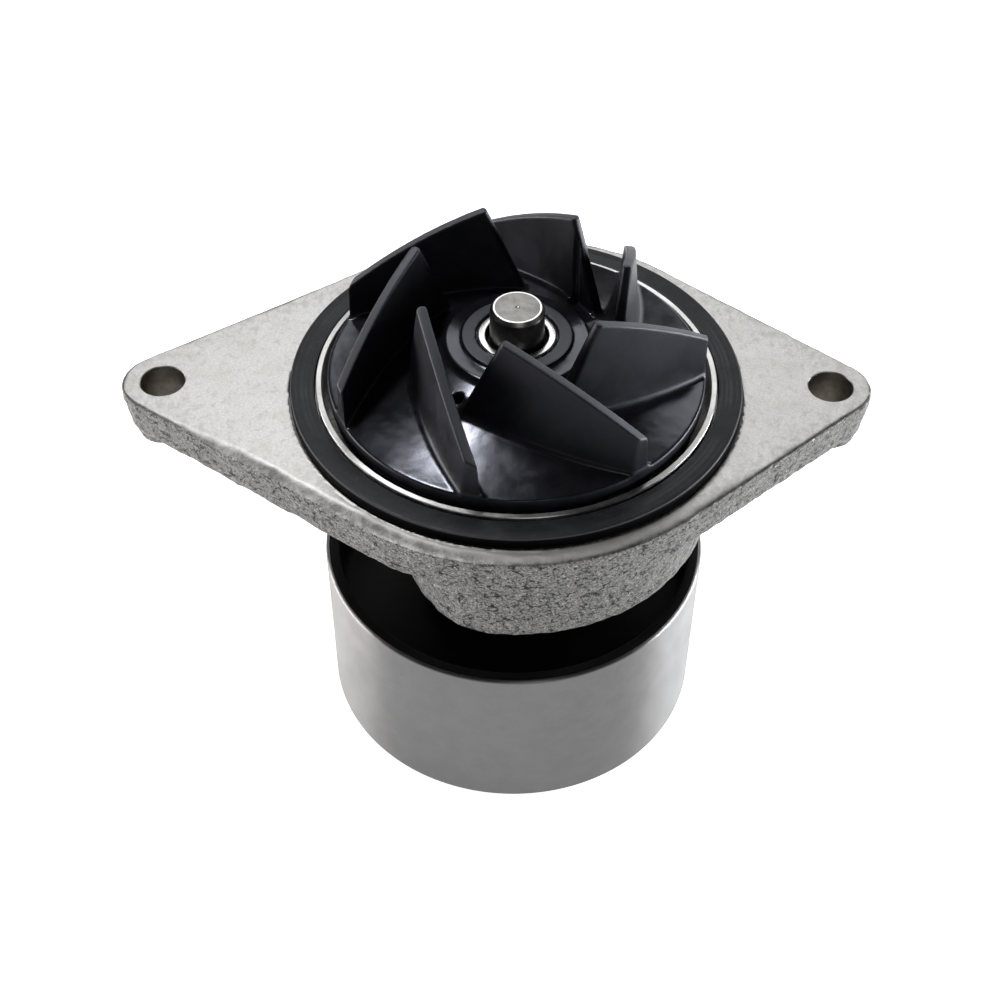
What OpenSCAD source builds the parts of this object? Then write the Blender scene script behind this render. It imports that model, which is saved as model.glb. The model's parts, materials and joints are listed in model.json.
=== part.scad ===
// Engine coolant pump: cast flange housing, plastic impeller, shaft bearing, face seal and belt pulley.
// Millimetres. Z is the pump axis, z = 0 is the machined flange face, and the impeller points up.
// Every z value below is a height above that face.

/* [Mounting flange] */
// Distance between the two bolt holes, along X
bolt_spacing = 150; // [148:0.5:153]
// Mid-point between the bolt holes, along X from the pump axis
bolt_offset = -4.4; // [-5.5:0.1:-3.5]
// Radius of each bolt hole
bolt_hole_r = 5; // [4.5:0.1:5.5]
// Radius of the rounded ear around each bolt hole
ear_r = 9.5; // [9.2:0.1:10.5]
// Radius of the round middle of the flange
flange_r = 55.3; // [54.5:0.1:57]
// Thickness of the flange
flange_t = 10.5; // [9:0.5:12]
// Extra thickness of the pad under each ear
pad_t = 2.5; // [1:0.5:4]

/* [Spigot and flange seal] */
// Outer radius of the thin lip that centres the flange seal
lip_r = 44.7; // [44.4:0.1:45]
// Height of the lip
lip_h = 3; // [2.8:0.1:3.4]
// Inner radius of the lip and of the recess that the impeller runs in
recess_r = 43.4; // [42.8:0.1:43.8]
// Outer radius of the rubber flange seal
flange_seal_r = 50.5; // [49:0.1:50.6]
// Height of the flange seal
flange_seal_h = 2.6; // [2:0.1:2.8]

/* [Casting behind the flange] */
// Radius of the boss at its lower end
boss_r = 46; // [45:0.1:47]
// Radius of the boss where it leaves the flange
boss_root_r = 48.5; // [48:0.1:50]
// Depth of the boss below the flange face
boss_depth = 34; // [34:0.1:34.8]
// Distance of the boss's flat side from the pump axis
boss_flat = 25; // [24:0.1:26]
// Radius of the boss's two large rounded corners
boss_corner_r = 30; // [29:0.5:31]
// Outer radius of the neck that holds the bearing, at its lower end
neck_r = 23.6; // [23:0.1:24.4]
// Radius of the drain hole
weep_r = 2.2; // [1.8:0.1:2.4]

/* [Impeller] */
// Outer radius of the impeller
impeller_r = 42; // [40:0.1:42.3]
// Height of the top of the impeller's rim
rim_z = 5; // [4.5:0.1:5.5]
// Thickness of the impeller's disc
disc_t = 3.6; // [2.8:0.1:3.8]
// Number of blades
blade_count = 7; // [5:1:8]
// Angle of the first blade's outer end, from +X
blade_phase = 0.1; // [-25:0.1:25]
// Height of a blade's outer end
blade_out_z = 14; // [12:0.5:16]
// Height of a blade's inner end
blade_in_z = 32; // [28:0.5:33]
// Thickness of a blade at its top
blade_top_t = 2.2; // [1.8:0.1:2.6]
// Thickness of a blade at its root
blade_root_t = 3.4; // [2.8:0.1:4]

/* [Shaft and bearing] */
// Radius of the shaft where the impeller sits
shaft_top_r = 6; // [5.8:0.1:6.2]
// Radius of the shaft under the face seal and in the pulley
shaft_seal_r = 8; // [7.9:0.1:8.1]
// Radius of the shaft in the bearing, where it is also the inner race
shaft_race_r = 9; // [9:0.01:9.02]
// Height of the shaft's upper end
shaft_top_z = 22; // [20:0.5:24]
// Number of balls in the ball row
ball_count = 8; // [6:1:8]
// Number of rollers in the roller row
roller_count = 9; // [6:1:9]

/* [Pulley] */
// Outer radius of the pulley's smooth belt face
pulley_r = 46; // [45.5:0.1:47]
// Height of the pulley's upper rim
pulley_top_z = -49.6; // [-51:0.1:-48]
// Height of the pulley's lower rim
pulley_bottom_z = -93.9; // [-96:0.1:-93]
// Wall thickness of the pulley
pulley_wall = 3.2; // [2.8:0.1:4]

/* [Hidden] */
$fn = 96;
cut = 1; // how far a cutting solid runs past the surface that it opens

// Flange
bolt_xs = [bolt_offset - bolt_spacing / 2, bolt_offset + bolt_spacing / 2];
pad_r = ear_r - 0.4;
tangent_sink = 0.04;
relief_in_r = flange_seal_r - 0.6; // groove that parts the seal's seat from the machined face
relief_out_r = flange_seal_r + 0.4;
relief_depth = 0.5;

// Hollow of the casting
recess_z = -5;
cavity_floor_z = -25;
cavity_r = 40.5;
cavity_flat = 19.5;
cavity_corner_r = 25;
tower_r = 24.5;
tower_z = -4.1;
boss_corner_y = 18.9;

// Stepped core of the casting, from the face seal down to the bearing
seal_bore_r = 18.2;
seal_floor_z = -16.6;
throat_r = 13;
chamber_r = 16;
chamber_top_z = -19;
bearing_bore_r = 19;
bearing_seat_z = -24;
weep_z = -21.5;
neck_root_r = 24.8;
neck_end_z = -57.5;
edge = 0.8; // small chamfer on turned edges

// Impeller
hub_r = 12.25;
hub_z = 14.5;
hub_step = 0.8; // how far the hub's flat top stands above the cone
hub_low_r = 16;
hub_low_z = 4.5; // also the shoulder of the shaft
insert_r = 8.5;
insert_recess_r = 6.9;
insert_recess_z = 12.3;
cone_slope = (hub_z - hub_step - rim_z) / (impeller_r - hub_r);
relief_hole_r = 1.3;
relief_hole_place_r = 20.8;
relief_hole_angles = [-127.5, 52.5];

// A blade's centreline, with its outer end on the +X axis
blade_root_in = [7, -21];
blade_top_in = [15.9, -16.9];
blade_out_x = 41.8;
blade_end_r = impeller_r - 0.25;
blade_root_bulge = 2.5;
blade_top_bulge = 0.6;
blade_top_crown = 1.4;
blade_sink = 1.5; // how far the blade's root runs into the disc
blade_steps = 10;

// Bearing
bearing_top_z = -24.5;
bearing_bottom_z = -57;
race_r = 15.5; // inner radius of the outer ring
pitch_r = 12.5;
ball_r = 4;
groove_r = 4.08;
ball_z = -49.4;
roller_r = 3.2;
roller_pitch_r = 12.25;
roller_z = -35.5;
roller_len = 12;
shield_r = 16.3;
shield_t = 2;

// Face seal: the carbon ring stands still and the seat ring turns on it
face_z = -0.4;
face_gap = 0.05;
carbon_base_z = -5.5;
carbon_r = 13.6;
bellows_r = 14.6;
case_wall = 0.8;
case_flange_r = 20.6;
spring_r = 15.6;
spring_wire_r = 0.85;
spring_turns = 4.5;
band_low_z = -7.6;
sleeve_r = 8.8;
sleeve_flange_z = 3.8;
sleeve_low_z = -18.1;
seat_back_z = 2.8;
seat_in_r = 9.6;
seat_out_r = 14.6;

// Pulley
web_top_z = -64;
web_t = 4;
pulley_bore_r = 14;
hub_flange_r = 21;
hub_top_z = -60.5;
shaft_bottom_z = -86;

// A solid of revolution about the pump axis; its outline is given as [radius, z] points.
module turned(points) {
    rotate_extrude() polygon(points);
}

// A plain ring between two heights.
module ring(r_in, r_out, z_low, z_high) {
    turned([[r_in, z_low], [r_out, z_low], [r_out, z_high], [r_in, z_high]]);
}

// Round middle, two ears and the straight edges between them. The edges run a hair inside the
// common tangents, so that each one meets its circles at a clear angle.
module flange_outline() {
    middle_r = flange_r - tangent_sink;
    end_r = ear_r - tangent_sink;
    circle(r = flange_r);
    for (x = bolt_xs) {
        lean = acos((flange_r - ear_r) / abs(x));
        tangent = [sign(x) * cos(lean), sin(lean)];
        mirrored = [tangent[0], -tangent[1]];
        translate([x, 0]) circle(r = ear_r);
        polygon([
            [0, 0], middle_r * tangent, [x, 0] + end_r * tangent,
            [x, 0] + end_r * mirrored, middle_r * mirrored
        ]);
    }
}

// A circle of radius r that is cut by a flat on the -X side, with two large round corners.
module d_outline(r, flat, corner_r) {
    corner_x = corner_r - flat;
    intersection() {
        circle(r = r);
        union() {
            translate([-flat, -boss_corner_y]) square([flat + r, 2 * boss_corner_y]);
            translate([corner_x, -r]) square([r - corner_x, 2 * r]);
            for (side = [-1, 1]) translate([corner_x, side * boss_corner_y]) circle(r = corner_r);
        }
    }
}

// The boss under the flange: D-shaped, and drawn in a little towards its lower end.
module boss() {
    intersection() {
        translate([0, 0, -boss_depth]) cylinder(r1 = boss_r, r2 = boss_root_r, h = boss_depth - cut);
        translate([0, 0, -boss_depth])
            linear_extrude(boss_depth - cut) d_outline(boss_root_r + cut, boss_flat, boss_corner_r);
    }
}

// The neck that reaches down into the pulley and holds the bearing.
module neck() {
    turned([
        [0, -boss_depth + cut], [neck_root_r, -boss_depth + cut], [neck_root_r, -boss_depth],
        [neck_r, neck_end_z + edge], [neck_r - edge, neck_end_z], [0, neck_end_z]
    ]);
}

// Water space around the seal tower, under the impeller.
module water_space() {
    difference() {
        union() {
            ring(0, recess_r, recess_z, lip_h + cut);
            translate([0, 0, cavity_floor_z])
                linear_extrude(recess_z - cavity_floor_z + cut) d_outline(cavity_r, cavity_flat, cavity_corner_r);
        }
        ring(0, tower_r, cavity_floor_z - cut, tower_z);
    }
}

// Seats for the face seal and the bearing, with the drain chamber between them.
module stepped_core() {
    turned([
        [0, tower_z + cut], [seal_bore_r, tower_z + cut], [seal_bore_r, seal_floor_z],
        [throat_r, seal_floor_z], [throat_r, chamber_top_z], [chamber_r, chamber_top_z],
        [chamber_r, bearing_seat_z], [bearing_bore_r, bearing_seat_z],
        [bearing_bore_r, neck_end_z - cut], [0, neck_end_z - cut]
    ]);
}

module housing() {
    color("silver")
    difference() {
        union() {
            translate([0, 0, -flange_t]) linear_extrude(flange_t) flange_outline();
            for (x = bolt_xs) translate([x, 0, -flange_t - pad_t]) cylinder(r = pad_r, h = pad_t + cut);
            ring(recess_r - cut, lip_r, -cut, lip_h);
            boss();
            neck();
        }
        water_space();
        stepped_core();
        ring(relief_in_r, relief_out_r, -relief_depth, cut);
        for (x = bolt_xs)
            translate([x, 0, -flange_t - pad_t - cut]) cylinder(r = bolt_hole_r, h = flange_t + pad_t + 2 * cut);
        translate([0, 0, weep_z]) rotate([0, -90, 0]) cylinder(r = weep_r, h = boss_root_r);
    }
}

module flange_seal() {
    color([0.10, 0.11, 0.12]) ring(lip_r, flange_seal_r, 0, flange_seal_h);
}

// Bearing: the shaft is the inner race, with one row of balls and one row of rollers.
module bearing_outer_ring() {
    color("lightsteelblue")
    difference() {
        ring(race_r, bearing_bore_r, bearing_bottom_z, bearing_top_z);
        ring(race_r - cut, shield_r, bearing_top_z - shield_t, bearing_top_z + cut);
        ring(race_r - cut, shield_r, bearing_bottom_z - cut, bearing_bottom_z + shield_t);
        translate([0, 0, ball_z]) rotate_extrude() translate([pitch_r, 0]) circle(r = groove_r);
    }
}

// A rubber lip seal that closes one end of the bearing.
module bearing_seal(z_low) {
    lip_gap = 0.1;
    color([0.30, 0.12, 0.08]) ring(shaft_race_r + lip_gap, shield_r, z_low, z_low + shield_t);
}

module bearing_seal_upper() {
    bearing_seal(bearing_top_z - shield_t);
}

module bearing_seal_lower() {
    bearing_seal(bearing_bottom_z);
}

module bearing_balls() {
    color("gainsboro")
    for (i = [0 : ball_count - 1])
        rotate([0, 0, i * 360 / ball_count]) translate([pitch_r, 0, ball_z]) sphere(r = ball_r);
}

module ball_cage() {
    cage_in_r = 11.5;
    cage_out_r = 14.2;
    half_h = 5.2;
    pocket_r = 4.15;
    color("darkkhaki")
    difference() {
        ring(cage_in_r, cage_out_r, ball_z - half_h, ball_z + half_h);
        for (i = [0 : ball_count - 1])
            rotate([0, 0, i * 360 / ball_count])
                translate([cage_in_r - cut, 0, ball_z])
                    rotate([0, 90, 0]) cylinder(r = pocket_r, h = cage_out_r - cage_in_r + 2 * cut);
    }
}

module bearing_rollers() {
    color("gainsboro")
    for (i = [0 : roller_count - 1])
        rotate([0, 0, i * 360 / roller_count])
            translate([roller_pitch_r, 0, roller_z - roller_len / 2]) cylinder(r = roller_r, h = roller_len);
}

module roller_cage() {
    cage_in_r = 11;
    cage_out_r = 13.4;
    half_h = 7.5;
    window = [cage_out_r - cage_in_r + 2 * cut, 2 * roller_r + 0.2, roller_len + 0.2];
    color("darkkhaki")
    difference() {
        ring(cage_in_r, cage_out_r, roller_z - half_h, roller_z + half_h);
        for (i = [0 : roller_count - 1])
            rotate([0, 0, i * 360 / roller_count])
                translate([cage_in_r - cut, -window[1] / 2, roller_z - window[2] / 2]) cube(window);
    }
}

// Face seal, standing half: a pressed cup that holds a rubber bellows, a spring and the carbon ring.
module seal_case() {
    color("goldenrod")
    turned([
        [throat_r - 2.8, seal_floor_z], [seal_bore_r, seal_floor_z], [seal_bore_r, tower_z],
        [case_flange_r, tower_z], [case_flange_r, tower_z + case_wall],
        [seal_bore_r - case_wall, tower_z + case_wall],
        [seal_bore_r - case_wall, seal_floor_z + case_wall], [throat_r - 2.8, seal_floor_z + case_wall]
    ]);
}

module seal_bellows() {
    in_r = 10.4;
    wall = 1.2;
    fold = 1.6;
    base_z = seal_floor_z + case_wall;
    fold_low_z = base_z + 4.2;
    fold_high_z = fold_low_z + 1.7;
    color([0.08, 0.08, 0.09])
    turned([
        [in_r, base_z], [in_r + 3, base_z], [in_r + 3, base_z + wall], [in_r + wall, base_z + wall],
        [in_r + wall, fold_low_z - 1], [in_r + wall + fold, fold_low_z], [in_r + wall + fold, fold_high_z],
        [in_r + wall, fold_high_z + 1], [in_r + wall, carbon_base_z - 1.5], [bellows_r, carbon_base_z - 1.5],
        [bellows_r, carbon_base_z + 3], [carbon_r, carbon_base_z + 3], [carbon_r, carbon_base_z],
        [in_r, carbon_base_z], [in_r, fold_high_z + 1], [in_r + fold, fold_high_z],
        [in_r + fold, fold_low_z], [in_r, fold_low_z - 1]
    ]);
}

// A round-wire spring: rings of points are swept along a helix, and fans close its two ends.
module seal_spring() {
    sides = 8;
    rings = 108;
    z_low = seal_floor_z + case_wall + spring_wire_r;
    z_high = band_low_z - spring_wire_r;
    points = [
        for (i = [0 : rings], j = [0 : sides - 1])
            let (
                turn = 360 * spring_turns * i / rings,
                around = 360 * j / sides,
                r = spring_r + spring_wire_r * cos(around)
            )
            [r * cos(turn), r * sin(turn), z_low + (z_high - z_low) * i / rings + spring_wire_r * sin(around)]
    ];
    walls = [
        for (i = [0 : rings - 1], j = [0 : sides - 1])
            let (k = (j + 1) % sides)
            each [
                [i * sides + j, (i + 1) * sides + j, (i + 1) * sides + k],
                [i * sides + j, (i + 1) * sides + k, i * sides + k]
            ]
    ];
    start = [for (j = [1 : sides - 2]) [0, j, j + 1]];
    last = rings * sides;
    end = [for (j = [1 : sides - 2]) [last, last + j + 1, last + j]];
    color("lightgray") polyhedron(points, concat(walls, start, end));
}

module seal_drive_band() {
    flange_out_r = 17;
    metal = 0.6;
    color("lightgray")
    turned([
        [bellows_r, band_low_z], [flange_out_r, band_low_z], [flange_out_r, band_low_z + metal],
        [bellows_r + metal, band_low_z + metal], [bellows_r + metal, carbon_base_z + 3],
        [bellows_r, carbon_base_z + 3]
    ]);
}

module seal_carbon_ring() {
    nose_in_r = 10.4;
    nose_out_r = 12.6;
    nose_h = 1.1;
    color([0.18, 0.18, 0.19])
    turned([
        [9.8, carbon_base_z], [carbon_r, carbon_base_z], [carbon_r, face_z - nose_h],
        [nose_out_r, face_z - nose_h], [nose_out_r, face_z], [nose_in_r, face_z],
        [nose_in_r, face_z - nose_h], [9.8, face_z - nose_h]
    ]);
}

// Shaft: one turned piece from the impeller to the pulley.
module pump_shaft() {
    chamfer = 0.6;
    centre_mark_r = 1.1;
    color("lightgray")
    difference() {
        turned([
            [0, shaft_top_z], [shaft_top_r - chamfer, shaft_top_z], [shaft_top_r, shaft_top_z - chamfer],
            [shaft_top_r, hub_low_z], [shaft_seal_r, hub_low_z], [shaft_seal_r, bearing_top_z],
            [shaft_race_r, bearing_top_z], [shaft_race_r, bearing_bottom_z - 1],
            [shaft_seal_r, bearing_bottom_z - 1], [shaft_seal_r, shaft_bottom_z + chamfer],
            [shaft_seal_r - chamfer, shaft_bottom_z], [0, shaft_bottom_z]
        ]);
        translate([0, 0, ball_z]) rotate_extrude() translate([pitch_r, 0]) circle(r = groove_r);
        translate([0, 0, shaft_top_z - centre_mark_r])
            cylinder(r1 = 0, r2 = 2 * centre_mark_r, h = 2 * centre_mark_r);
    }
}

// Height of the impeller's conical top at radius r.
function cone_z(r) = rim_z + cone_slope * (impeller_r - r);

// A point on a blade's bowed centreline; s runs from 0 at the inner end to 1 at the outer end.
function bowed(start, end, bulge, s) =
    let (along = (end - start) / norm(end - start))
    start + (end - start) * s + 4 * s * (1 - s) * bulge * [along[1], -along[0]];

// Four corners of a blade's section at s: root left, root right, top right, top left.
function blade_section(s) =
    let (
        out = [blade_out_x, 0],
        root = bowed(blade_root_in, out, blade_root_bulge, s),
        top = bowed(blade_top_in, out, blade_top_bulge, s),
        along = (out - blade_root_in) / norm(out - blade_root_in),
        side = [along[1], -along[0]],
        root_z = cone_z(norm(root)) - blade_sink,
        top_z = blade_in_z + (blade_out_z - blade_in_z) * s + 4 * s * (1 - s) * blade_top_crown,
        root_half = side * blade_root_t / 2,
        top_half = side * blade_top_t / 2
    )
    [
        [root[0] - root_half[0], root[1] - root_half[1], root_z],
        [root[0] + root_half[0], root[1] + root_half[1], root_z],
        [top[0] + top_half[0], top[1] + top_half[1], top_z],
        [top[0] - top_half[0], top[1] - top_half[1], top_z]
    ];

// One blade: its sections are joined into a closed solid, and the rim trims its outer end.
module blade() {
    points = [for (i = [0 : blade_steps]) each blade_section(i / blade_steps)];
    walls = [
        for (i = [0 : blade_steps - 1], j = [0 : 3])
            let (k = (j + 1) % 4)
            each [
                [4 * i + j, 4 * i + k, 4 * i + 4 + k],
                [4 * i + j, 4 * i + 4 + k, 4 * i + 4 + j]
            ]
    ];
    last = 4 * blade_steps;
    ends = [[0, 2, 1], [0, 3, 2], [last, last + 1, last + 2], [last, last + 2, last + 3]];
    intersection() {
        polyhedron(points, concat(walls, ends));
        cylinder(r = blade_end_r, h = blade_in_z + cut);
    }
}

module impeller() {
    color([0.13, 0.13, 0.14])
    difference() {
        union() {
            turned([
                [insert_r, hub_low_z], [hub_low_r, hub_low_z], [hub_low_r, cone_z(hub_low_r) - disc_t],
                [impeller_r, rim_z - disc_t], [impeller_r, rim_z], [hub_r, cone_z(hub_r)],
                [hub_r, hub_z], [insert_r, hub_z]
            ]);
            for (i = [0 : blade_count - 1])
                rotate([0, 0, blade_phase + i * 360 / blade_count]) blade();
        }
        for (a = relief_hole_angles)
            rotate([0, 0, a]) translate([relief_hole_place_r, 0, 0]) cylinder(r = relief_hole_r, h = hub_z);
    }
}

module impeller_insert() {
    color("white")
    turned([
        [shaft_top_r, hub_low_z], [insert_r, hub_low_z], [insert_r, hub_z], [insert_recess_r, hub_z],
        [insert_recess_r, insert_recess_z], [shaft_top_r, insert_recess_z]
    ]);
}

// Face seal, turning half: a sleeve on the shaft, a rubber cup and the hard seat ring.
module seat_sleeve() {
    flange_out_r = 16;
    color("goldenrod")
    turned([
        [shaft_seal_r, sleeve_low_z], [sleeve_r, sleeve_low_z], [sleeve_r, sleeve_flange_z],
        [flange_out_r, sleeve_flange_z], [flange_out_r, hub_low_z], [shaft_seal_r, hub_low_z]
    ]);
}

module seat_cup() {
    rim_out_r = 15.8;
    boot_low_z = 0.3;
    rim_low_z = -0.1;
    color([0.08, 0.08, 0.09])
    turned([
        [sleeve_r, boot_low_z], [seat_in_r, boot_low_z], [seat_in_r, seat_back_z],
        [seat_out_r, seat_back_z], [seat_out_r, rim_low_z], [rim_out_r, rim_low_z],
        [rim_out_r, sleeve_flange_z], [sleeve_r, sleeve_flange_z]
    ]);
}

module seat_ring() {
    color("dimgray") ring(seat_in_r, seat_out_r, face_z + face_gap, seat_back_z);
}

// Thrower that flings drips into the drain chamber.
module slinger() {
    hub_out_r = 9.5;
    disc_r = 14.3;
    color([0.08, 0.08, 0.09])
    turned([
        [shaft_seal_r, weep_z - 1.7], [hub_out_r, weep_z - 1.7], [hub_out_r, weep_z - 0.4],
        [disc_r, weep_z - 1], [disc_r, weep_z - 0.2], [hub_out_r, weep_z + 1],
        [hub_out_r, weep_z + 1.7], [shaft_seal_r, weep_z + 1.7]
    ]);
}

// Pulley: a cup that opens towards the flange, on a pressed hub.
module pulley_shell() {
    in_r = pulley_r - pulley_wall;
    color("slategray")
    turned([
        [pulley_r - edge, pulley_bottom_z], [pulley_r, pulley_bottom_z + edge],
        [pulley_r, pulley_top_z - edge], [pulley_r - edge, pulley_top_z], [in_r, pulley_top_z],
        [in_r, web_top_z], [pulley_bore_r, web_top_z], [pulley_bore_r, web_top_z - web_t],
        [in_r, web_top_z - web_t], [in_r, pulley_bottom_z]
    ]);
}

module pulley_hub() {
    hub_bottom_z = shaft_bottom_z + 1;
    color("gray")
    turned([
        [shaft_seal_r, hub_top_z], [hub_flange_r, hub_top_z], [hub_flange_r, web_top_z],
        [pulley_bore_r, web_top_z], [pulley_bore_r, hub_bottom_z], [shaft_seal_r, hub_bottom_z]
    ]);
}

housing();
flange_seal();
bearing_outer_ring();
bearing_seal_upper();
bearing_seal_lower();
seal_case();
seal_bellows();
seal_spring();
seal_drive_band();
seal_carbon_ring();
pump_shaft();
impeller();
impeller_insert();
seat_sleeve();
seat_cup();
seat_ring();
slinger();
pulley_shell();
pulley_hub();
bearing_balls();
ball_cage();
bearing_rollers();
roller_cage();
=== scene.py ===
"""Coolant pump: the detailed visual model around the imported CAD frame.

Lengths in the geometry functions are millimetres in the CAD frame: Z is the pump axis and z = 0 is the
machined flange face. mesh_object() turns them into metres.
"""
import json
import math

import bmesh
import bpy
import numpy as np
from mathutils import Matrix, Vector


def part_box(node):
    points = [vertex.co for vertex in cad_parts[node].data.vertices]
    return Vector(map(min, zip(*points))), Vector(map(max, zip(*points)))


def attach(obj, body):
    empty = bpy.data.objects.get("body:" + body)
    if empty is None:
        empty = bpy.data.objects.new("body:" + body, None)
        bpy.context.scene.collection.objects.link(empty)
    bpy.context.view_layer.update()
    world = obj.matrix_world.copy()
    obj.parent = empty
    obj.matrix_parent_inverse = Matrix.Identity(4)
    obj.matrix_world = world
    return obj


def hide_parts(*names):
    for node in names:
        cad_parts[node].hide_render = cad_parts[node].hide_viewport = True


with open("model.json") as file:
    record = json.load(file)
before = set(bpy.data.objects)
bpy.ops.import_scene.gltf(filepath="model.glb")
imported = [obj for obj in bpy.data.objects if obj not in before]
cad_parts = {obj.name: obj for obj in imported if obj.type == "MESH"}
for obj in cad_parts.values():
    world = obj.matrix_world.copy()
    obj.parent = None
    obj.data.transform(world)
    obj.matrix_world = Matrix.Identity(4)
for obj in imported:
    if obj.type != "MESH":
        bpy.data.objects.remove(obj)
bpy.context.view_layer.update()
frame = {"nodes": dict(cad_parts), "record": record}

MM = 0.001
nodes = frame["nodes"]
mounts = {m["name"]: m for m in frame["record"]["mounts"]}


def reach(node):
    """Outer radius of a round node."""
    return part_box(node)[1].x / MM


def top(node):
    """Height of a node's upper end."""
    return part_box(node)[1].z / MM


def bottom(node):
    """Height of a node's lower end."""
    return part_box(node)[0].z / MM


# ----------------------------------------------------------------------
# Sizes in millimetres, from the frame where it states them and from the CAD's drawing elsewhere
# ----------------------------------------------------------------------
BOLT_SPACING = mounts["mounting_bolts"]["dims"]["spacing_x_mm"]
BOLT_MID = mounts["mounting_bolts"]["pos_m"][0] / MM
BOLT_HOLE_R = mounts["mounting_bolts"]["dims"]["hole_r_mm"]
BOLT_XS = (BOLT_MID - BOLT_SPACING / 2, BOLT_MID + BOLT_SPACING / 2)
EAR_R = reach("housing") - BOLT_XS[1]
FLANGE_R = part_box("housing")[1].y / MM
FLANGE_T = 10.5
PAD_R = EAR_R - 0.4
PAD_T = 2.5

SEAL_R = mounts["spigot_seal"]["dims"]["r_mm"]
SEAL_H = top("flange_seal")
LIP_R = 44.7
LIP_H = top("housing")
RECESS_R = 43.4
RECESS_Z = -5.0
RELIEF_IN_R = SEAL_R - 0.6
RELIEF_OUT_R = SEAL_R + 0.4
RELIEF_DEPTH = 0.5
SEAL_GAP = 0.35  # between the flange seal and the lip
BOLT_COUNTERSINK = 0.2

BOSS_R = 46.0
BOSS_ROOT_R = 48.5
BOSS_Z = -34.0
BOSS_FLAT = 25.0
BOSS_CORNER_R = 30.0
BOSS_CORNER_Y = 18.9
BEARING_R = reach("bearing_outer_ring")
BEARING_MOUTH = 0.7  # chamfer where the bearing is pressed in
BEARING_SEAT_Z = top("bearing_outer_ring") + 0.5
SEAL_BORE_R = 18.2
SEAL_FLOOR_Z = bottom("seal_case")
TOWER_R = 24.5  # the wall around the face seal
TOWER_Z = top("seal_case") - 0.8
THROAT_R = 13.0
CHAMBER_R = 16.0
CHAMBER_Z = -19.0
NECK_ROOT_R = 24.8
NECK_R = 23.6
NECK_Z = bottom("housing")
CAVITY_Z = -25.0
CAVITY_R = 40.5
CAVITY_FLAT = 19.5
CAVITY_CORNER_R = 25.0
WEEP_R = 2.2  # drain hole on the boss's flat side
WEEP_Z = -21.5

IMPELLER_R = reach("impeller")
RIM_Z = 5.0
DISC_T = 3.6
HUB_R = 12.25
HUB_Z = top("impeller_insert")
HUB_STEP = 0.8
HUB_LOW_R = 16.0
HUB_LOW_Z = bottom("impeller_insert")
INSERT_R = reach("impeller_insert")
INSERT_RECESS_R = 6.9
INSERT_RECESS_Z = 12.3
BLADES = 7
BLADE_PHASE = 0.1
BLADE_IN_Z = top("impeller")
BLADE_OUT_Z = 14.0
BLADE_ROOT_IN = (7.0, -21.0)
BLADE_TOP_IN = (15.9, -16.9)
BLADE_OUT = (IMPELLER_R - 0.2, 0.0)
BLADE_END_R = IMPELLER_R - 0.25
BLADE_ROOT_T = 3.4
BLADE_TOP_T = 2.2
BLADE_ROOT_BULGE = 2.5
BLADE_TOP_BULGE = 0.6
BLADE_TOP_CROWN = 1.4
RELIEF_HOLE_R = 1.3
RELIEF_HOLE_PLACE_R = 20.8
RELIEF_HOLE_ANGLES = (-127.5, 52.5)

SHAFT_TOP_R = 6.0
SHAFT_R = 8.0
SHAFT_RACE_R = 9.0
SHAFT_HIGHLIGHT_RING_R = 5.3  # a thin bright ring around the ground end, a painted highlight
BALL_PITCH_R = 12.5
BALL_GROOVE_R = 4.08
SLIP = 0.02  # between two pieces that touch
SHAFT_TOP_Z = top("pump_shaft")
SHAFT_LOW_Z = bottom("pump_shaft")

PULLEY_R = mounts["pulley_belt_face"]["dims"]["r_mm"]
PULLEY_WALL = 3.2
PULLEY_TOP_Z = top("pulley_shell")
PULLEY_LOW_Z = bottom("pulley_shell")
WEB_TOP_Z = -64.0
WEB_T = 4.0
PULLEY_BORE_R = 14.0
HUB_FLANGE_R = reach("pulley_hub")
HUB_TOP_Z = top("pulley_hub")
HUB_END_Z = bottom("pulley_hub")

# ----------------------------------------------------------------------
# Signed distance fields, so that castings and mouldings get true fillets and rounded edges
# ----------------------------------------------------------------------


def grid(low, high, step):
    """Coordinates of a regular grid, shaped so that they spread over it."""
    counts = [int(math.ceil((h - l) / step)) + 1 for l, h in zip(low, high)]
    x, y, z = (np.float32(l) + np.arange(n, dtype=np.float32) * np.float32(step) for l, n in zip(low, counts))
    return x[:, None, None], y[None, :, None], z[None, None, :]


def both(a, b, r=0.0):
    """Intersection, its edge rounded to radius r."""
    if r <= 0:
        return np.maximum(a, b)
    out = np.hypot(np.maximum(a + r, 0), np.maximum(b + r, 0)) - r
    return np.where((a < -r) | (b < -r), np.maximum(a, b), out)


def either(a, b, r=0.0):
    """Union, its inner corner filled to radius r."""
    if r <= 0:
        return np.minimum(a, b)
    return -both(-a, -b, r)


def less(a, b, r=0.0):
    """a with b cut away."""
    return both(a, -b, r)


NOISE_CELLS = 64  # the random values repeat after this many cells


def value_noise(x, y, z, size, seed):
    """Smooth random values from -1 to 1 on a grid of cells of the given size."""
    table = np.random.default_rng(seed).uniform(-1, 1, (NOISE_CELLS,) * 3).astype(np.float32)
    total = 0
    cells = [np.floor(c / size).astype(np.int64) for c in (x, y, z)]
    parts = [c / size - i for c, i in zip((x, y, z), cells)]
    parts = [p * p * (3 - 2 * p) for p in parts]
    for dx in (0, 1):
        for dy in (0, 1):
            for dz in (0, 1):
                weight = 1
                for p, d in zip(parts, (dx, dy, dz)):
                    weight = weight * (p if d else 1 - p)
                i, j, k = ((c + d) % NOISE_CELLS for c, d in zip(cells, (dx, dy, dz)))
                total = total + weight * table[i, j, k]
    return total


def layers(terms, x, y, z):
    """A sum of noises, each given by its height, the size of its cells and its seed."""
    return sum(height * value_noise(x, y, z, size, seed) for height, size, seed in terms)


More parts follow.
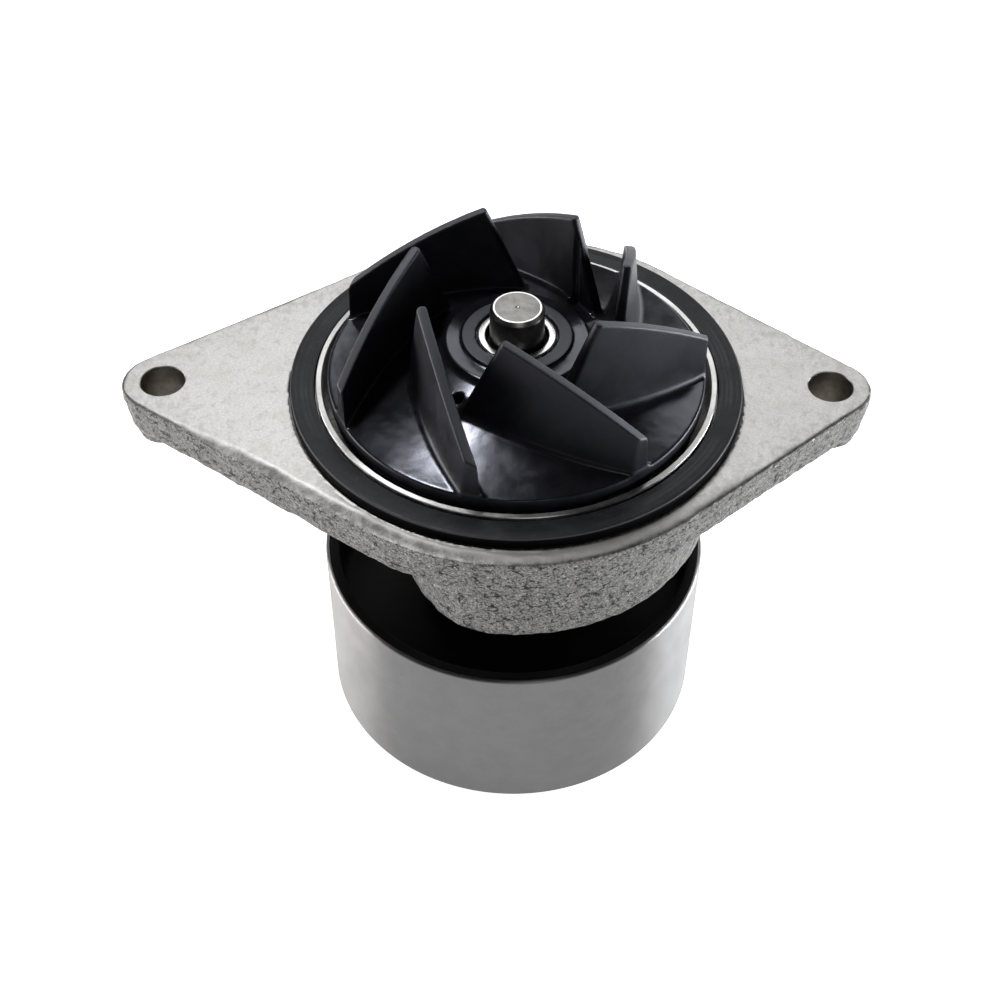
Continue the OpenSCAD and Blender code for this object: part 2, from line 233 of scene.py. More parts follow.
CORNERS = [(i, j, k) for i in (0, 1) for j in (0, 1) for k in (0, 1)]
CELL_EDGES = [
    (a, b)
    for a in range(8)
    for b in range(a + 1, 8)
    if sum(abs(p - q) for p, q in zip(CORNERS[a], CORNERS[b])) == 1
]


def surface_of(field, low, step):
    """Vertices and quads of the field's zero surface, one vertex in each cell that it crosses."""
    inside = field < 0
    count = np.zeros(tuple(n - 1 for n in field.shape), np.int8)
    for i, j, k in CORNERS:
        count += inside[i : field.shape[0] - 1 + i, j : field.shape[1] - 1 + j, k : field.shape[2] - 1 + k]
    active = np.argwhere((count > 0) & (count < 8))
    index = np.full(count.shape, -1, np.int32)
    index[tuple(active.T)] = np.arange(len(active))
    values = np.stack([field[tuple((active + c).T)] for c in CORNERS], 1)
    place = np.zeros((len(active), 3))
    hits = np.zeros((len(active), 1))
    for a, b in CELL_EDGES:
        va, vb = values[:, a : a + 1], values[:, b : b + 1]
        cross = (va < 0) != (vb < 0)
        t = np.where(cross, va / np.where(cross, va - vb, 1), 0)
        point = np.array(CORNERS[a]) * (1 - t) + np.array(CORNERS[b]) * t
        place += np.where(cross, point, 0)
        hits += cross
    verts = np.array(low) + (active + place / hits) * step
    # each grid edge that the surface crosses gives a quad of the four cells around it
    faces = []
    for axis in range(3):
        ahead = np.take(inside, range(1, inside.shape[axis]), axis)
        behind = np.take(inside, range(0, inside.shape[axis] - 1), axis)
        u, v = [a for a in range(3) if a != axis]
        edges = np.argwhere(ahead != behind)
        edges = edges[(edges[:, u] > 0) & (edges[:, v] > 0)]
        keep = (edges[:, u] < count.shape[u]) & (edges[:, v] < count.shape[v])
        edges = edges[keep]
        flip = ahead[tuple(edges.T)] ^ (axis == 1)
        ring = []
        for du, dv in ((1, 1), (0, 1), (0, 0), (1, 0)):
            cell = edges.copy()
            cell[:, u] -= du
            cell[:, v] -= dv
            ring.append(index[tuple(cell.T)])
        quads = np.stack(ring, 1)
        quads[flip] = quads[flip][:, ::-1]
        faces.append(quads)
    return verts, np.vstack(faces)


# ----------------------------------------------------------------------
# Mesh helpers
# ----------------------------------------------------------------------


SHARP_DEG = 30


def mesh_object(name, verts, faces, sharp_deg=SHARP_DEG):
    """A mesh object from points in millimetres, smooth apart from edges sharper than sharp_deg."""
    mesh = bpy.data.meshes.new(name)
    verts = np.asarray(verts, np.float32) * MM
    if isinstance(faces, np.ndarray):
        mesh.vertices.add(len(verts))
        mesh.vertices.foreach_set("co", verts.ravel())
        size = faces.shape[1]
        mesh.loops.add(faces.size)
        mesh.loops.foreach_set("vertex_index", faces.astype(np.int32).ravel())
        mesh.polygons.add(len(faces))
        mesh.polygons.foreach_set("loop_start", np.arange(0, faces.size, size, dtype=np.int32))
        mesh.update(calc_edges=True)
    else:
        mesh.from_pydata([tuple(v) for v in verts], [], faces)
    obj = bpy.data.objects.new(name, mesh)
    bpy.context.scene.collection.objects.link(obj)
    shade(obj, sharp_deg)
    return obj


def shade(obj, sharp_deg=SHARP_DEG):
    """Smooth shading apart from edges sharper than sharp_deg."""
    obj.data.polygons.foreach_set("use_smooth", [True] * len(obj.data.polygons))
    obj.data.set_sharp_from_angle(angle=math.radians(sharp_deg))


def arc(centre, r, start_deg, end_deg, steps=5):
    """Points of an arc in an (r, z) outline."""
    angles = [math.radians(start_deg + (end_deg - start_deg) * i / steps) for i in range(steps + 1)]
    return [(centre[0] + r * math.cos(a), centre[1] + r * math.sin(a)) for a in angles]


def rounded(points, radii, steps=4):
    """A closed (r, z) outline with each corner rounded to its radius; a radius of 0 leaves it sharp."""
    out = []
    n = len(points)
    for i, (p, r) in enumerate(zip(points, radii)):
        p = Vector(p)
        if r <= 0:
            out.append(tuple(p))
            continue
        a = (Vector(points[i - 1]) - p).normalized()
        b = (Vector(points[(i + 1) % n]) - p).normalized()
        half = a.angle(b) / 2
        run = r / math.tan(half)
        centre = p + (a + b).normalized() * (r / math.sin(half))
        start, end = p + a * run - centre, p + b * run - centre
        first = math.atan2(start.y, start.x)
        sweep = math.remainder(math.atan2(end.y, end.x) - first, 2 * math.pi)
        for k in range(steps + 1):
            angle = first + sweep * k / steps
            out.append((centre.x + r * math.cos(angle), centre.y + r * math.sin(angle)))
    return out


ON_AXIS = 1e-6
TURNED_SHARP_DEG = 25


def turned(name, outline, segments):
    """A solid of revolution from a closed (r, z) outline; points at r = 0 become poles."""
    verts, rows = [], []
    for r, z in outline:
        if r < ON_AXIS:
            rows.append([len(verts)] * segments)
            verts.append((0, 0, z))
            continue
        rows.append(list(range(len(verts), len(verts) + segments)))
        for i in range(segments):
            a = 2 * math.pi * i / segments
            verts.append((r * math.cos(a), r * math.sin(a), z))
    faces = []
    for row, nxt in zip(rows, rows[1:] + rows[:1]):
        for i in range(segments):
            k = (i + 1) % segments
            ring = [row[i], row[k], nxt[k], nxt[i]]
            ring = [v for n, v in enumerate(ring) if v not in ring[:n]]
            if len(ring) > 2:
                faces.append(ring)
    obj = mesh_object(name, verts, faces, TURNED_SHARP_DEG)
    bm = bmesh.new()
    bm.from_mesh(obj.data)
    bmesh.ops.recalc_face_normals(bm, faces=bm.faces)
    bm.to_mesh(obj.data)
    bm.free()
    shade(obj, TURNED_SHARP_DEG)
    return obj


def cut(obj, cutter):
    """Cuts the cutter out of obj and removes the cutter."""
    mod = obj.modifiers.new("cut", "BOOLEAN")
    mod.operation = "DIFFERENCE"
    mod.solver = "MANIFOLD"
    mod.object = cutter
    graph = bpy.context.evaluated_depsgraph_get()
    mesh = bpy.data.meshes.new_from_object(obj.evaluated_get(graph))
    obj.modifiers.remove(mod)
    obj.data = mesh
    mesh.name = obj.name
    bpy.data.objects.remove(cutter)
    shade(obj)


def blacken(obj, radius):
    """Gives the faces within this radius the second material slot."""
    for polygon in obj.data.polygons:
        if math.hypot(polygon.center.x, polygon.center.y) / MM < radius:
            polygon.material_index = 1


# ----------------------------------------------------------------------
# Housing
# ----------------------------------------------------------------------
CAST_STEP = 0.5
EDGE_R = 0.4
DRAFT = 0.12  # how far the side walls lean in per millimetre of depth
ROLL_OFF = 5.0  # width of the worn margin along the flange's edge
MARGIN_RANGE = 9.0  # distance from the edge over which near_edge falls from 1 to 0
PROUD = 0.47  # height of the rough top, before the cutter levels it at z = 0
WAVES = ((0.22, 9.0, 3), (0.10, 3.1, 4))  # share, size and seed of the rough top's waves
WAVE_HEIGHT = 0.30
EDGE_DROP = 0.36
FRONT_DROP = 0.34
UNDER_EDGE_R = 1.2
PAD_EDGE_R = 0.6
PAD_FILLET = 0.7
CORNER_RIDGE_R = 2.0  # where the D's flat side meets its round side
BOSS_EDGE_R = 1.8
BOSS_FILLET = 4.5
NECK_EDGE_R = 1.0
NECK_FILLET = 2.5
CAVITY_FLOOR_R = 2.0
TOWER_FILLET = 1.5
SAND = ((0.15, 1.3, 5), (0.20, 2.6, 6))  # height, grain size and seed
SAND_INSET = 0.25  # keeps the sand's grain inside the nominal surface
SAND_FADE = 1.5  # depth below the flange face at which the grain reaches its full height
FLASH_Z = -3.0  # the line where the two halves of the mould met
FLASH_HEIGHT = 0.30
FLASH_WIDTH = 0.45
MILLED_FROM_R = SEAL_R + 0.3  # the cutter levels the face outside this radius


def uneven_capsule(x, y, r1, r2, length):
    """Plan distance to the hull of a circle of r1 at the origin and one of r2 at x = length."""
    b = (r1 - r2) / length
    a = math.sqrt(1 - b * b)
    y = np.abs(y)
    k = a * x - b * y
    flank = a * y + b * x - r1
    near = np.hypot(x, y) - r1
    far = np.hypot(x - length, y) - r2
    return np.where(k < 0, near, np.where(k > a * length, far, flank))


def flange_plan(x, y):
    """Plan distance to the flange: a disc with an ear on each side."""
    left = uneven_capsule(-x, y, FLANGE_R, EAR_R, -BOLT_XS[0])
    right = uneven_capsule(x, y, FLANGE_R, EAR_R, BOLT_XS[1])
    return np.minimum(left, right)


def d_plan(x, y, r, flat, corner_r):
    """Plan distance to a circle that is cut by a flat on the -X side with two large round corners."""
    u = (corner_r - flat) - x
    v = np.abs(y) - BOSS_CORNER_Y
    slab = np.hypot(np.maximum(u, 0), np.maximum(v, 0)) + np.minimum(np.maximum(u, v), 0) - corner_r
    return both(np.hypot(x, y) - r, slab, CORNER_RIDGE_R)


def casting_field(low, high):
    """The casting before it is machined; its flange's top stands proud of the milled face."""
    x, y, z = grid(low, high, CAST_STEP)
    level = np.zeros_like(x)
    radius = np.hypot(x, y)
    draft = DRAFT * np.maximum(-z, 0)
    plan = flange_plan(x, y) + draft
    # the rough top falls away along the edge and at the front, and is a little wavy
    wave = layers(WAVES, x, y, level)
    edge = np.clip(1 + flange_plan(x, y) / ROLL_OFF, 0, 1)
    front = np.clip((-y - 8) / 20, 0, 1) * np.clip((20 - x) / 40, 0.3, 1) * np.clip(2.5 * edge, 0, 1)
    rough_top = PROUD + WAVE_HEIGHT * wave - EDGE_DROP * edge**2 - FRONT_DROP * front
    upper = both(plan, z - rough_top, EDGE_R)
    lower = both(plan, -FLANGE_T - z, UNDER_EDGE_R)
    flange = np.maximum(upper, lower)
    for bolt_x in BOLT_XS:
        pad_plan = np.hypot(x - bolt_x, y) - PAD_R + draft
        pad = both(pad_plan, np.maximum(-FLANGE_T - PAD_T - z, z + FLANGE_T - 2), PAD_EDGE_R)
        flange = either(flange, pad, PAD_FILLET)
    boss_r = BOSS_R + (BOSS_ROOT_R - BOSS_R) * (z - BOSS_Z) / -BOSS_Z
    boss = both(d_plan(x, y, boss_r, BOSS_FLAT, BOSS_CORNER_R), BOSS_Z - z, BOSS_EDGE_R)
    boss = np.maximum(boss, z + 3)
    body = either(flange, boss, BOSS_FILLET)
    neck_r = NECK_R + (NECK_ROOT_R - NECK_R) * np.clip((z - NECK_Z) / (BOSS_Z - NECK_Z), 0, 1.2)
    neck = both(radius - neck_r, NECK_Z - z, NECK_EDGE_R)
    neck = np.maximum(neck, z - BOSS_Z - 5)
    body = either(body, neck, NECK_FILLET)
    flash_z = FLASH_Z + 0.35 * value_noise(x, y, level, 6.0, 8)
    ragged = 0.5 + 0.5 * value_noise(x, y, level, 2.3, 9)
    flash = FLASH_HEIGHT * ragged * np.exp(-(((z - flash_z) / FLASH_WIDTH) ** 2)) * (np.abs(plan) < 2)
    sand = layers(SAND, x, y, z) * np.clip(-z / SAND_FADE, 0.1, 1)
    field = body - flash - sand + SAND_INSET
    # lip blank, which the lathe cuts
    field = np.minimum(field, np.maximum(radius - (LIP_R + 1), np.maximum(z - LIP_H - 0.5, -6 - z)))
    # water space around the seal tower
    cavity = both(d_plan(x, y, CAVITY_R, CAVITY_FLAT, CAVITY_CORNER_R), CAVITY_Z - z, CAVITY_FLOOR_R)
    cavity = less(cavity, radius - TOWER_R, TOWER_FILLET)
    return less(field, cavity, 0.4)


def lathe_cutter():
    """Everything that is turned out of the casting on the pump axis."""
    clear = 8.0
    chamfer = 0.15
    tower_turn_r = TOWER_R + 2.2
    mouth_r = BEARING_R + BEARING_MOUTH
    outline = [
        (0, LIP_H + clear), (RELIEF_OUT_R, LIP_H + clear), (RELIEF_OUT_R, -RELIEF_DEPTH),
        (RELIEF_IN_R, -RELIEF_DEPTH), (RELIEF_IN_R, 0), (LIP_R, 0), (LIP_R, LIP_H - chamfer),
        (LIP_R - chamfer, LIP_H), (RECESS_R + chamfer, LIP_H), (RECESS_R, LIP_H - chamfer),
        (RECESS_R, RECESS_Z), (tower_turn_r, RECESS_Z), (tower_turn_r, TOWER_Z), (SEAL_BORE_R, TOWER_Z),
        (SEAL_BORE_R, SEAL_FLOOR_Z), (THROAT_R, SEAL_FLOOR_Z), (THROAT_R, CHAMBER_Z),
        (CHAMBER_R, CHAMBER_Z), (CHAMBER_R, BEARING_SEAT_Z), (BEARING_R, BEARING_SEAT_Z),
        (BEARING_R, NECK_Z + BEARING_MOUTH), (mouth_r, NECK_Z - 0.05), (mouth_r, NECK_Z - clear),
        (0, NECK_Z - clear),
    ]
    return turned("lathe_cutter", outline, 360)


def bolt_drill(x):
    """The cutter for a bolt hole at x, with a small countersink at both ends."""
    low, high, r, clear = -FLANGE_T - PAD_T, 0, BOLT_HOLE_R, 6
    wide = r + BOLT_COUNTERSINK
    outline = [
        (0, high + clear), (wide + clear, high + clear), (wide, high), (r, high - BOLT_COUNTERSINK),
        (r, low + BOLT_COUNTERSINK), (wide, low), (wide + clear, low - clear), (0, low - clear),
    ]
    obj = turned("drill", outline, 96)
    obj.location.x = x * MM
    return obj


def weep_drill():
    """The cutter for the drain hole, from the pump axis out through the boss's flat side."""
    obj = turned("weep_drill", [(0, 0), (WEEP_R, 0), (WEEP_R, BOSS_ROOT_R), (0, BOSS_ROOT_R)], 32)
    obj.data.transform(Matrix.Translation((0, 0, WEEP_Z * MM)) @ Matrix.Rotation(-math.pi / 2, 4, "Y"))
    return obj


def make_housing():
    """The casting, milled to z = 0 outside the seal, then turned and drilled."""
    low, high = (np.array(corner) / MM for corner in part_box("housing"))
    margin = 2.0
    field = casting_field(low - margin, high + margin)
    verts, faces = surface_of(field, low - margin, CAST_STEP)
    milled = np.hypot(verts[:, 0], verts[:, 1]) > MILLED_FROM_R
    verts[milled, 2] = np.minimum(verts[milled, 2], 0)
    obj = mesh_object("housing_casting", np.clip(verts, low, high), faces)
    tools = [lathe_cutter(), *(bolt_drill(bolt_x) for bolt_x in BOLT_XS), weep_drill()]
    bpy.context.view_layer.update()
    for tool in tools:
        cut(obj, tool)
    for polygon in obj.data.polygons:
        polygon.material_index = finish_at(*(c / MM for c in polygon.center))
    places = np.empty(3 * len(obj.data.vertices), np.float32)
    obj.data.vertices.foreach_get("co", places)
    x, y, _ = places.reshape(-1, 3).T / MM
    near_edge = np.clip(1 + flange_plan(x, y) / MARGIN_RANGE, 0, 1).astype(np.float32)
    obj.data.attributes.new("near_edge", "FLOAT", "POINT").data.foreach_set("value", near_edge)
    return obj


def finish_at(x, y, z):
    """Material slot at this place: 0 cast or milled, 1 turned, 2 drilled."""
    # the small margins keep a face whose centre lies right on a limit on its turned side
    r = math.hypot(x, y)
    lip = RECESS_R - 0.1 < r < LIP_R + 0.1 and z > RECESS_Z
    bores = r < BEARING_R + BEARING_MOUTH + 0.05
    tower_top = r < TOWER_R + 0.1 and abs(z - TOWER_Z) < 0.05
    from_bolt = min(math.hypot(x - bolt_x, y) for bolt_x in BOLT_XS)
    if from_bolt < BOLT_HOLE_R + 0.04:
        return 2
    return int(lip or bores or tower_top or from_bolt < BOLT_HOLE_R + BOLT_COUNTERSINK + 0.02)


# ----------------------------------------------------------------------
# Impeller
# ----------------------------------------------------------------------
MOULD_STEP = 0.32
MOULD_SHARP_DEG = 50
ROOT_FILLET = 1.1
CREST_R = 0.35
DISC_EDGE_R = (0.5, 0.4)  # at the rim, above and below
HUB_EDGE_R = 0.35
HUB_FILLET = 0.3
HUB_LOW_EDGE_R = 0.5
HUB_LOW_FILLET = 1.0
GROOVE_EDGE_R = 0.12
RELIEF_HOLE_EDGE_R = 0.2
DISC_SAG = 0.9  # how far the disc's top is hollowed midway between hub and rim
GROOVE_R = 9.15  # the plastic draws back from the bush
GROOVE_DEPTH = 0.7
TAPER = 0.3  # the blade's length shrinks by this share from its foot to its head
CONE_SLOPE = (HUB_Z - HUB_STEP - RIM_Z) / (IMPELLER_R - HUB_R)


def cone_z(r):
    """Height of the disc's top: a cone that is hollowed a little, like a trumpet."""
    s = np.clip((r - HUB_R) / (IMPELLER_R - HUB_R), 0, 1)
    return RIM_Z + CONE_SLOPE * (IMPELLER_R - r) - 4 * s * (1 - s) * DISC_SAG


def bowed(start, end, bulge, s):
    """A bowed line in plan from start to end."""
    ax, ay = end[0] - start[0], end[1] - start[1]
    run = math.hypot(ax, ay)
    off = 4 * s * (1 - s) * bulge
    return start[0] + ax * s + off * ay / run, start[1] + ay * s - off * ax / run


def blade_field(x, y, z):
    """Distance to one blade, whose outer end is on the +X axis."""
    ax, ay = BLADE_OUT[0] - BLADE_ROOT_IN[0], BLADE_OUT[1] - BLADE_ROOT_IN[1]
    run = math.hypot(ax, ay)
    side = (ay / run, -ax / run)
    s = ((x - BLADE_ROOT_IN[0]) * ax + (y - BLADE_ROOT_IN[1]) * ay) / run**2
    for _ in range(3):
        inner = np.clip(s, -0.15, 1.05)
        rx, ry = bowed(BLADE_ROOT_IN, BLADE_OUT, BLADE_ROOT_BULGE, inner)
        tx, ty = bowed(BLADE_TOP_IN, BLADE_OUT, BLADE_TOP_BULGE, inner)
        foot = cone_z(np.hypot(rx, ry)) - 1.5
        head = BLADE_IN_Z + (BLADE_OUT_Z - BLADE_IN_Z) * inner + 4 * inner * (1 - inner) * BLADE_TOP_CROWN
        h = np.clip((z - foot) / (head - foot), 0, 1.1)
        cx, cy = rx + (tx - rx) * h, ry + (ty - ry) * h
        s = inner + ((x - cx) * ax + (y - cy) * ay) / run**2 / (1 - TAPER * h)
    lean = np.hypot(tx - rx, ty - ry) / (head - foot)
    flat = 1 / np.sqrt(1 + lean**2)
    lateral = (x - cx) * side[0] + (y - cy) * side[1]
    half = (BLADE_ROOT_T + (BLADE_TOP_T - BLADE_ROOT_T) * h) / 2
    faces = (np.abs(lateral) - half) * flat
    slope = (BLADE_IN_Z - BLADE_OUT_Z) / run
    crest = (z - head) / math.sqrt(1 + slope**2)
    front = -s * run * (1 - TAPER * h)
    return both(both(faces, front, 0.8), crest, CREST_R)


def impeller_field(low, high):
    """Disc, hub and blades, with the bore for the bush and the two relief holes."""
    x, y, z = grid(low, high, MOULD_STEP)
    radius = np.hypot(x, y)
    tilt = 1 / math.sqrt(1 + CONE_SLOPE**2)
    cone = (z - cone_z(radius)) * tilt
    under = (RIM_Z + CONE_SLOPE * (IMPELLER_R - radius) - DISC_T - z) * tilt
    rim = radius - IMPELLER_R
    disc = both(both(cone, rim, DISC_EDGE_R[0]), under, DISC_EDGE_R[1])
    hub_low = both(radius - HUB_LOW_R, np.maximum(HUB_LOW_Z - z, z - HUB_Z + 1), HUB_LOW_EDGE_R)
    hub_top = both(radius - HUB_R, z - HUB_Z, HUB_EDGE_R)
    hub_top = np.maximum(hub_top, HUB_LOW_Z + 3 - z)
    disc = either(disc, hub_low, HUB_LOW_FILLET)
    blades = np.full(np.broadcast_shapes(x.shape, y.shape, z.shape), 50.0, np.float32)
    for i in range(BLADES):
        a = math.radians(BLADE_PHASE + i * 360 / BLADES)
        bx = x * math.cos(a) + y * math.sin(a)
        by = y * math.cos(a) - x * math.sin(a)
        # only the part of the grid around the blade is worked out
        near = (bx > BLADE_ROOT_IN[0] - 6) & (by > BLADE_ROOT_IN[1] - 6) & (by < 8)
        spot = np.nonzero(near[:, :, 0])
        px, py = bx[:, :, 0][spot][:, None], by[:, :, 0][spot][:, None]
        blades[spot] = np.minimum(blades[spot], blade_field(px, py, z[0]))
    blades = both(blades, radius - BLADE_END_R, CREST_R)
    body = either(disc, blades, ROOT_FILLET)
    body = either(body, hub_top, HUB_FILLET)
    body = np.maximum(body, radius - IMPELLER_R)
    body = less(body, radius - INSERT_R)
    body = less(body, np.maximum(radius - GROOVE_R, HUB_Z - GROOVE_DEPTH - z), GROOVE_EDGE_R)
    for angle in map(math.radians, RELIEF_HOLE_ANGLES):
        hx = RELIEF_HOLE_PLACE_R * math.cos(angle)
        hy = RELIEF_HOLE_PLACE_R * math.sin(angle)
        body = less(body, np.hypot(x - hx, y - hy) - RELIEF_HOLE_R, RELIEF_HOLE_EDGE_R)
    return body


def make_impeller():
    low, high = (np.array(corner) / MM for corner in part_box("impeller"))
    margin = 1.5
    verts, faces = surface_of(impeller_field(low - margin, high + margin), low - margin, MOULD_STEP)
    return mesh_object("impeller_moulding", verts, faces, MOULD_SHARP_DEG)


# ----------------------------------------------------------------------
# Turned pieces
# ----------------------------------------------------------------------


def make_flange_seal():
    inner = LIP_R + SEAL_GAP
    outline = rounded(
        [(inner, SLIP), (SEAL_R, SLIP), (SEAL_R, SEAL_H), (inner, SEAL_H)],
        [0.3, 0.3, 0.7, 0.5],
    )
    return turned("flange_seal_ring", outline, 320)


def make_shaft():
    """The shaft with its centre mark, its ground end and the groove that the balls run in."""
    bearing_top, bearing_low = top("bearing_outer_ring"), bottom("bearing_outer_ring")
    groove_z = (top("bearing_balls") + bottom("bearing_balls")) / 2
    groove = arc((BALL_PITCH_R, groove_z), BALL_GROOVE_R, 149, 211, 8)
    outline = [(0, SHAFT_TOP_Z - 0.35), (0.5, SHAFT_TOP_Z - 0.03), (1.0, SHAFT_TOP_Z)]
    outline += rounded(
        [(1.0, SHAFT_TOP_Z), (SHAFT_TOP_R - 0.7, SHAFT_TOP_Z), (SHAFT_TOP_R, SHAFT_TOP_Z - 0.9),
         (SHAFT_TOP_R, HUB_LOW_Z), (1.0, HUB_LOW_Z)],
        [0, 0.12, 0.3, 0, 0],
    )[1:-1]
    outline += [(SHAFT_R, HUB_LOW_Z), (SHAFT_R, bearing_top), (SHAFT_RACE_R, bearing_top)]
    outline += groove
    outline += [
        (SHAFT_RACE_R, bearing_low - 1), (SHAFT_R, bearing_low - 1), (SHAFT_R, SHAFT_LOW_Z + 0.6),
        (SHAFT_R - 0.6, SHAFT_LOW_Z), (1.4, SHAFT_LOW_Z), (0, SHAFT_LOW_Z + 1.4),
    ]
    return turned("shaft_spindle", outline, 192)


def make_insert():
    """The bush, with its recess around the shaft's end painted black as shade."""
    bore = SHAFT_TOP_R + SLIP
    outline = rounded(
        [(bore, HUB_LOW_Z), (INSERT_R, HUB_LOW_Z), (INSERT_R, HUB_Z), (INSERT_RECESS_R, HUB_Z),
         (INSERT_RECESS_R, INSERT_RECESS_Z), (bore, INSERT_RECESS_Z)],
        [0, 0, 0.2, 0.35, 0, 0],
    )
    obj = turned("hub_bush", outline, 192)
    # the recess takes the black coating as painted shade
    blacken(obj, INSERT_RECESS_R + 0.02)
    return obj


def make_pulley():
    """The pulley's shell and web, bare outside and black inside."""
    in_r = PULLEY_R - PULLEY_WALL
    web_low = WEB_TOP_Z - WEB_T
    outline = rounded(
        [(PULLEY_R, PULLEY_LOW_Z), (PULLEY_R, PULLEY_TOP_Z), (in_r, PULLEY_TOP_Z), (in_r, WEB_TOP_Z),
         (PULLEY_BORE_R, WEB_TOP_Z), (PULLEY_BORE_R, web_low), (in_r, web_low), (in_r, PULLEY_LOW_Z)],
        [0.8, 0.8, 0.5, 3.0, 0, 0, 3.0, 0.5],
        6,
    )
    obj = turned("pulley_cup", outline, 384)
    blacken(obj, PULLEY_R - 1.1)
    return obj


def make_pulley_hub():
    bore = SHAFT_R + SLIP
    outline = rounded(
        [(bore, HUB_END_Z), (PULLEY_BORE_R, HUB_END_Z), (PULLEY_BORE_R, WEB_TOP_Z),
         (HUB_FLANGE_R, WEB_TOP_Z), (HUB_FLANGE_R, HUB_TOP_Z), (bore, HUB_TOP_Z)],
        [0.5, 0.8, 0, 0.3, 0.9, 0.5],
    )
    return turned("pulley_hub_turned", outline, 192)


# ----------------------------------------------------------------------
# Materials
# ----------------------------------------------------------------------


def smooth_step(tree, value, low, high, out_low=0.0, out_high=1.0):
    """A socket that goes smoothly from out_low to out_high while value goes from low to high."""
    node = tree.nodes.new("ShaderNodeMapRange")
    node.interpolation_type = "SMOOTHSTEP"
    tree.links.new(value, node.inputs[0])
    for index, number in enumerate((low, high, out_low, out_high), 1):
        node.inputs[index].default_value = number
    return node.outputs[0]


class Shader:
    """A node material that is built top down; colours and numbers may be values or sockets."""

    def __init__(self, name):
        self.material = bpy.data.materials.new(name)
        self.material.use_nodes = True
        self.tree = self.material.node_tree
        self.tree.nodes.clear()
        self.out = self.tree.nodes.new("ShaderNodeOutputMaterial")
        self.bsdf = self.tree.nodes.new("ShaderNodeBsdfPrincipled")
        self.tree.links.new(self.bsdf.outputs[0], self.out.inputs[0])
        coords = self.tree.nodes.new("ShaderNodeTexCoord")
        self.place = coords.outputs["Object"]

    def feed(self, node, index, value):
        if isinstance(value, bpy.types.NodeSocket):
            self.tree.links.new(value, node.inputs[index])
        else:
            node.inputs[index].default_value = value

    def math(self, operation, a, b=0.0):
        node = self.tree.nodes.new("ShaderNodeMath")
        node.operation = operation
        self.feed(node, 0, a)
        self.feed(node, 1, b)
        return node.outputs[0]

    def stretched(self, x, y, z):
        node = self.tree.nodes.new("ShaderNodeMapping")
        self.feed(node, "Vector", self.place)
        node.inputs["Scale"].default_value = (x, y, z)
        return node.outputs[0]

    def noise(self, size_mm, detail=3.0, roughness=0.55, where=None, distortion=0.0):
        node = self.tree.nodes.new("ShaderNodeTexNoise")
        self.feed(node, "Vector", where or self.place)
        node.inputs["Scale"].default_value = 1 / (size_mm * MM)
        node.inputs["Detail"].default_value = detail
        node.inputs["Roughness"].default_value = roughness
        node.inputs["Distortion"].default_value = distortion
        return node.outputs["Fac"]

    def cell_edges(self, size_mm, where):
        """Distance to the nearest edge between irregular cells of about this size."""
        node = self.tree.nodes.new("ShaderNodeTexVoronoi")
        node.feature = "DISTANCE_TO_EDGE"
        self.feed(node, "Vector", where)
        node.inputs["Scale"].default_value = 1 / (size_mm * MM)
        return node.outputs["Distance"]

    def shifted(self, size_mm, reach_mm, scale):
        """Scaled object coordinates, pushed about by noise."""
        push = self.tree.nodes.new("ShaderNodeTexNoise")
        self.feed(push, "Vector", self.place)
        push.inputs["Scale"].default_value = 1 / (size_mm * MM)
        node = self.tree.nodes.new("ShaderNodeVectorMath")
        node.operation = "MULTIPLY_ADD"
        self.feed(node, 0, push.outputs["Color"])
        node.inputs[1].default_value = (reach_mm * MM,) * 3
        self.feed(node, 2, self.stretched(*scale))
        return node.outputs[0]

    def ramp(self, value, low, high, out_low=0.0, out_high=1.0):
        return smooth_step(self.tree, value, low, high, out_low, out_high)

    def mix(self, factor, a, b):
        """A mix of two colours."""
        node = self.tree.nodes.new("ShaderNodeMix")
        node.data_type = "RGBA"
        self.feed(node, 0, factor)
        for socket, value in zip([s for s in node.inputs if s.type == "RGBA"], (a, b)):
            if isinstance(value, bpy.types.NodeSocket):
                self.tree.links.new(value, socket)
            else:
                socket.default_value = (*value, 1)
        return [s for s in node.outputs if s.type == "RGBA"][0]

    def bump(self, height, depth_mm, normal=None):
        node = self.tree.nodes.new("ShaderNodeBump")
        node.inputs["Strength"].default_value = 1.0
        node.inputs["Distance"].default_value = depth_mm * MM
        self.feed(node, "Height", height)
        if normal is not None:
            self.feed(node, "Normal", normal)
        return node.outputs[0]

    def parts(self):
        """x, y, z and the distance from the pump axis, all in millimetres."""
        node = self.tree.nodes.new("ShaderNodeSeparateXYZ")
        self.feed(node, 0, self.place)
        x, y, z = (self.math("MULTIPLY", node.outputs[i], 1 / MM) for i in range(3))
        square = self.math("ADD", self.math("MULTIPLY", x, x), self.math("MULTIPLY", y, y))
        return x, y, z, self.math("SQRT", square)

    def normal_z(self):
        """1 where the surface faces up, 0 where it is upright and -1 where it faces down."""
        coords = self.tree.nodes.new("ShaderNodeTexCoord")
        node = self.tree.nodes.new("ShaderNodeSeparateXYZ")
        self.feed(node, 0, coords.outputs["Normal"])
        return node.outputs[2]

    def rings(self):
        """Coordinates that change only with the radius and the height."""
        _, _, z, r = self.parts()
        node = self.tree.nodes.new("ShaderNodeCombineXYZ")
        self.feed(node, 0, self.math("MULTIPLY", r, MM))
        self.feed(node, 1, self.math("MULTIPLY", z, MM))
        return node.outputs[0]

    def stored(self, name):
        """A number kept on the mesh."""
        node = self.tree.nodes.new("ShaderNodeAttribute")
        node.attribute_name = name
        return node.outputs["Fac"]

    def set(self, **sockets):
        """Sets the named inputs of the surface and returns the material."""
        for key, value in sockets.items():
            name = key.replace("_", " ").title().replace("Ior", "IOR")
            if isinstance(value, bpy.types.NodeSocket):
                self.tree.links.new(value, self.bsdf.inputs[name])
            else:
                self.bsdf.inputs[name].default_value = value
        return self.material


